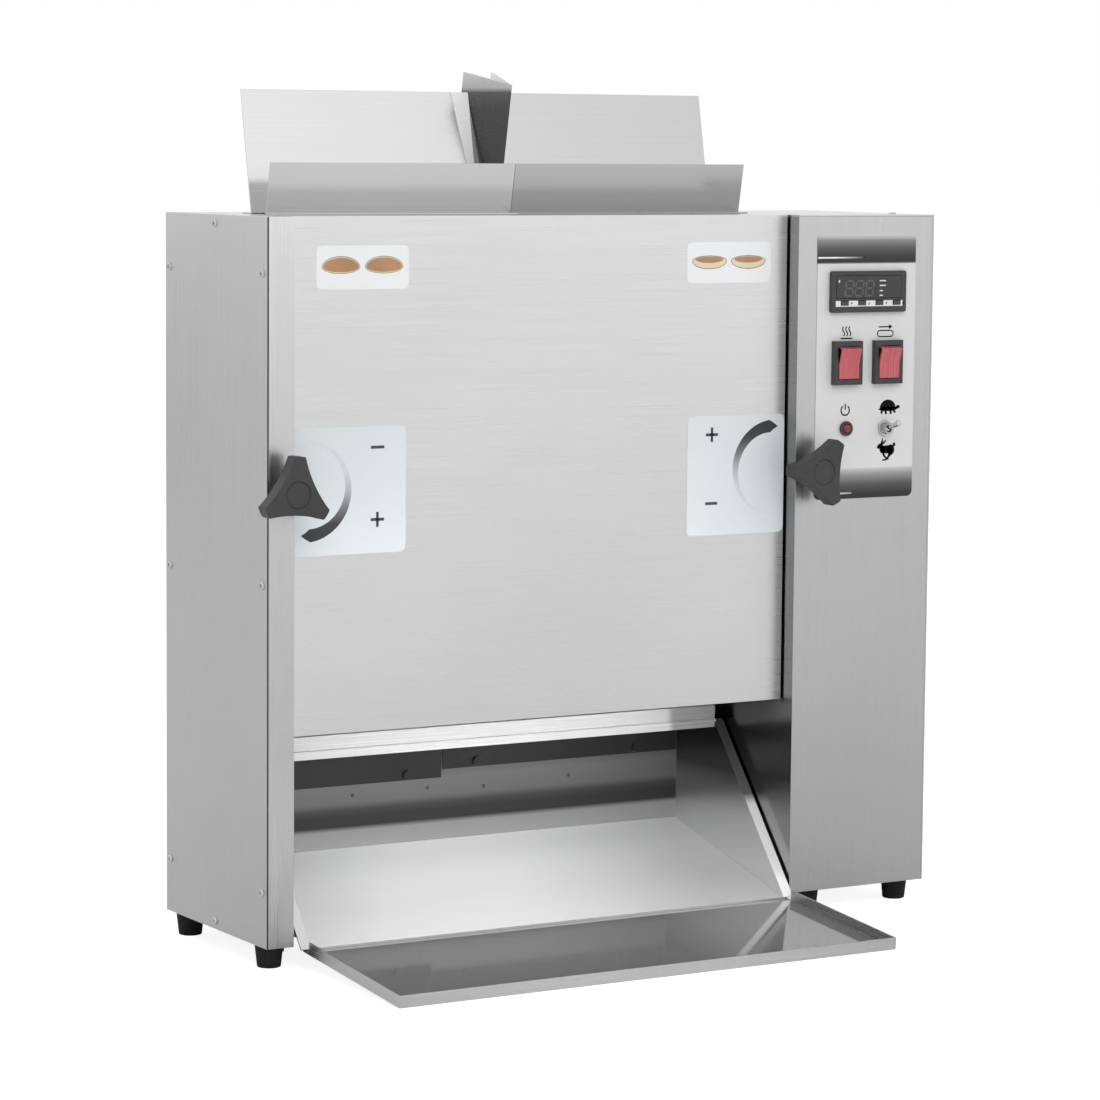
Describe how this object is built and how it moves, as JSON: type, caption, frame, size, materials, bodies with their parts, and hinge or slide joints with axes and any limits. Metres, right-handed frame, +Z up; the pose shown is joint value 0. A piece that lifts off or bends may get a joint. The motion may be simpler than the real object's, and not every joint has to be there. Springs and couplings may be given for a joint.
{
  "type": "vertical bun toaster",
  "caption": "Free-standing vertical bun toaster: steel cabinet with leaning feed plates on top, gap knobs, control column, lift-off door and a polished chute with tray.",
  "frame": {"origin": "middle of the part's box, on the counter that the feet stand on", "axes": "+Z up, +Y from the door to the rear panel, +X to the right as seen from the front"},
  "size_m": [0.6506, 0.3642, 0.7091],
  "materials": {
    "side_steel": "brushed, vertical grain",
    "door_steel": "fine brushed",
    "column_steel": "brushed, vertical grain",
    "inner_steel": "mill finish",
    "polished_steel": "mirror polished",
    "plate_steel": "fine satin",
    "screw_steel": "bright",
    "rubber_black": "matt",
    "platen_alloy": "cast",
    "element_sheath": "heat tinted",
    "insulation": "matt fibre board",
    "release_black": "satin non-stick sheet",
    "belt_black": "matt",
    "roller_alloy": "turned",
    "gear_brass": "machined",
    "motor_alloy": "cast",
    "knob_black": "fine grained moulding",
    "overlay_grey": "satin film",
    "controller_black": "satin moulding",
    "window_dark": "clear smoked",
    "key_grey": "matt",
    "rocker_red": "translucent gloss",
    "lamp_red": "translucent gloss",
    "ivory_plastic": "moulded"
  },
  "bodies": {
    "cabinet": {"left_frame": "side_steel", "left_side_cover": "side_steel", "right_housing": "column_steel", "right_side_cover": "side_steel", "right_top_cap": "column_steel", "cover_screws": "screw_steel", "rear_panel": "side_steel", "front_top_rail": "inner_steel", "chute_rails": "inner_steel", "top_cover": "column_steel", "feet": "rubber_black", "platen": "platen_alloy", "heating_elements": "element_sheath", "insulation_board": "insulation", "heat_shield": "inner_steel", "platen_brackets": "inner_steel", "release_sheets": "release_black", "sheet_clamp_bar": "inner_steel", "rear_feed_plate": "plate_steel", "lane_divider": "plate_steel", "left_front_feed_plate": "plate_steel", "right_front_feed_plate": "plate_steel", "control_overlay": "overlay_grey", "temperature_controller": "controller_black", "controller_window": "window_dark", "switch_housings": "controller_black", "lamp_bezel": "controller_black", "lamp_lens": "lamp_red", "gear_motor": "motor_alloy", "motor_bracket": "inner_steel", "shaft_bearings": "gear_brass", "knob_bushes": "screw_steel", "cable_gland": "knob_black", "terminal_block": "ivory_plastic", "limit_thermostat": "ivory_plastic"},
    "drive_train": {"drive_shaft": "inner_steel", "drive_gear": "gear_brass", "drive_rollers": "roller_alloy"},
    "pinion": {"motor_pinion": "gear_brass"},
    "left_conveyor": {"left_conveyor_frame": "inner_steel", "left_belt": "belt_black"},
    "right_conveyor": {"right_conveyor_frame": "inner_steel", "right_belt": "belt_black"},
    "left_idler": {"left_idler_roller": "roller_alloy"},
    "right_idler": {"right_idler_roller": "roller_alloy"},
    "left_knob": {"left_knob": "knob_black", "left_adjust_screw": "screw_steel"},
    "right_knob": {"right_knob": "knob_black", "right_adjust_screw": "screw_steel"},
    "heat_rocker": {"heat_rocker": "rocker_red"},
    "conveyor_rocker": {"conveyor_rocker": "rocker_red"},
    "speed_toggle": {"speed_toggle": "screw_steel"},
    "key_1": {"key_1": "key_grey"},
    "key_2": {"key_2": "key_grey"},
    "key_3": {"key_3": "key_grey"},
    "key_4": {"key_4": "key_grey"},
    "front_door": {"front_door": "door_steel"},
    "landing_chute": {"landing_chute": "polished_steel", "tray": "polished_steel", "chute_liner": "release_black"}
  },
  "joints": [
    {"name": "drive_spin", "type": "hinge", "parent": "cabinet", "child": "drive_train", "pos_m": [-0.05076, 0.04114, 0.543], "axis": [1, 0, 0], "continuous": true},
    {"name": "pinion_spin", "type": "hinge", "parent": "cabinet", "child": "pinion", "pos_m": [0.19374, 0.07791, 0.51215], "axis": [1, 0, 0], "continuous": true},
    {"name": "left_gap_swing", "type": "hinge", "parent": "cabinet", "child": "left_conveyor", "pos_m": [-0.16551, 0.04114, 0.543], "axis": [1, 0, 0], "range_deg": [-2.1, 2.1]},
    {"name": "left_idler_spin", "type": "hinge", "parent": "left_conveyor", "child": "left_idler", "pos_m": [-0.16551, 0.04114, 0.204], "axis": [1, 0, 0], "continuous": true},
    {"name": "left_knob_turn", "type": "hinge", "parent": "cabinet", "child": "left_knob", "pos_m": [-0.29676, -0.03086, 0.379], "axis": [0, 1, 0], "range_deg": [-270, 270]},
    {"name": "right_gap_swing", "type": "hinge", "parent": "cabinet", "child": "right_conveyor", "pos_m": [0.06399, 0.04114, 0.543], "axis": [1, 0, 0], "range_deg": [-2.1, 2.1]},
    {"name": "right_idler_spin", "type": "hinge", "parent": "right_conveyor", "child": "right_idler", "pos_m": [0.06399, 0.04114, 0.204], "axis": [1, 0, 0], "continuous": true},
    {"name": "right_knob_turn", "type": "hinge", "parent": "cabinet", "child": "right_knob", "pos_m": [0.19524, -0.03086, 0.379], "axis": [0, 1, 0], "range_deg": [-270, 270]},
    {"name": "heat_rocker_tilt", "type": "hinge", "parent": "cabinet", "child": "heat_rocker", "pos_m": [0.23339, -0.02046, 0.4685], "axis": [-1, 0, 0], "range_deg": [0, 18]},
    {"name": "conveyor_rocker_tilt", "type": "hinge", "parent": "cabinet", "child": "conveyor_rocker", "pos_m": [0.27509, -0.02046, 0.4685], "axis": [-1, 0, 0], "range_deg": [0, 18]},
    {"name": "speed_toggle_flip", "type": "hinge", "parent": "cabinet", "child": "speed_toggle", "pos_m": [0.27494, -0.02146, 0.412], "axis": [1, 0, 0], "range_deg": [0, 36]},
    {"name": "key_1_press", "type": "slide", "parent": "cabinet", "child": "key_1", "axis": [0, 1, 0], "range_m": [0, 0.0008], "stiffness_N_per_m": 250},
    {"name": "key_2_press", "type": "slide", "parent": "cabinet", "child": "key_2", "axis": [0, 1, 0], "range_m": [0, 0.0008], "stiffness_N_per_m": 250},
    {"name": "key_3_press", "type": "slide", "parent": "cabinet", "child": "key_3", "axis": [0, 1, 0], "range_m": [0, 0.0008], "stiffness_N_per_m": 250},
    {"name": "key_4_press", "type": "slide", "parent": "cabinet", "child": "key_4", "axis": [0, 1, 0], "range_m": [0, 0.0008], "stiffness_N_per_m": 250},
    {"name": "door_lift", "type": "slide", "parent": "cabinet", "child": "front_door", "axis": [0, 0, 1], "range_m": [0, 0.42]},
    {"name": "chute_pull", "type": "slide", "parent": "cabinet", "child": "landing_chute", "axis": [0, -1, 0], "range_m": [0, 0.2]}
  ],
  "couplings": [
    {"joint": "pinion_spin", "follows": "drive_spin", "ratio": -3},
    {"joint": "left_idler_spin", "follows": "drive_spin", "ratio": 1},
    {"joint": "right_idler_spin", "follows": "drive_spin", "ratio": 1},
    {"joint": "left_knob_turn", "follows": "left_gap_swing", "ratio": -128.57},
    {"joint": "right_knob_turn", "follows": "right_gap_swing", "ratio": -128.57}
  ]
}
